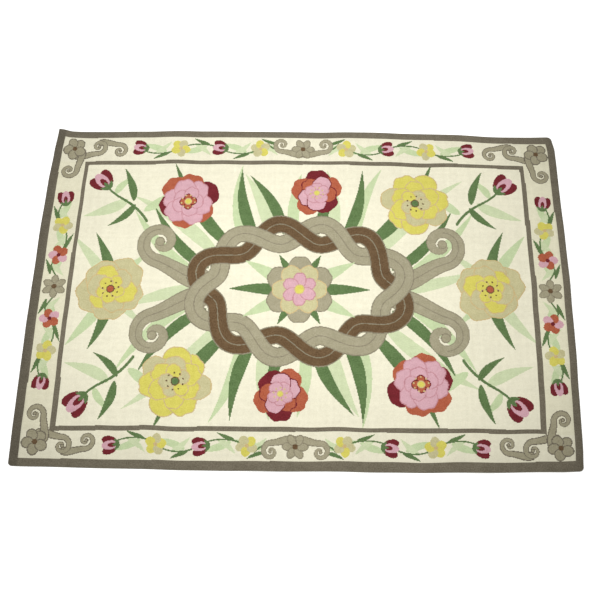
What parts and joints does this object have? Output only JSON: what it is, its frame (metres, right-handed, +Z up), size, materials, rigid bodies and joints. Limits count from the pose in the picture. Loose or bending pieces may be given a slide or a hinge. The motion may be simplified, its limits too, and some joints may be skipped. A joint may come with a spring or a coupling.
{
  "type": "flat-woven wool area rug",
  "caption": "Oblong flat-woven wool area rug with a wide frame border, lying face up on the floor, its edges slightly out of true.",
  "frame": {"origin": "on the floor, under the middle of the rug's outline", "axes": "+X along the long sides to the right, +Y across the short way to the far side, +Z up out of the face"},
  "size_m": [2.7722, 1.8628, 0.0159],
  "materials": {
    "wool": "matt flat-woven wool, cream ground with taupe border bands and green, yellow, pink, crimson and orange motifs"
  },
  "bodies": {
    "root": {"rug": "wool"}
  },
  "joints": []
}
